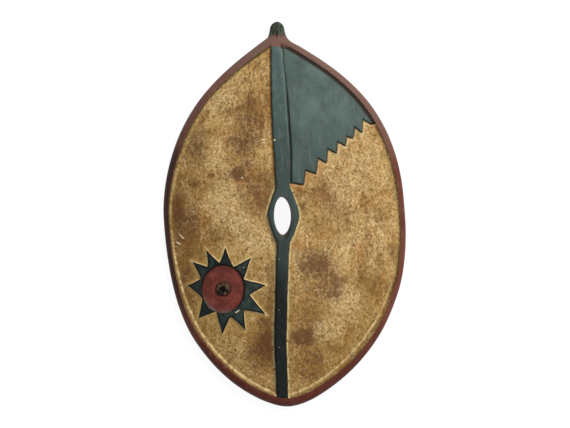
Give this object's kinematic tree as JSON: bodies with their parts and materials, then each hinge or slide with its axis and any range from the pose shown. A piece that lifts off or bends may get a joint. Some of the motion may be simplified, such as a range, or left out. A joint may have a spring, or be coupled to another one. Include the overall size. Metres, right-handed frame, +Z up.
{
  "type": "carved wooden dance shield",
  "caption": "Oval shield carved from one plank and painted, with a raised rim, a rib, an eye-shaped hole, a toothed panel, a star in relief and an arm loop behind.",
  "frame": {"origin": "middle of the shield's outline, on the plane that its back rests on", "axes": "+Y from the foot to the knob at the head, +X to the right as the front is seen, +Z up out of the front"},
  "size_m": [0.3859, 0.612, 0.075],
  "materials": {
    "painted_wood": "matt earth paints over carved wood, worn"
  },
  "bodies": {
    "root": {"shield": "painted_wood"}
  },
  "joints": []
}
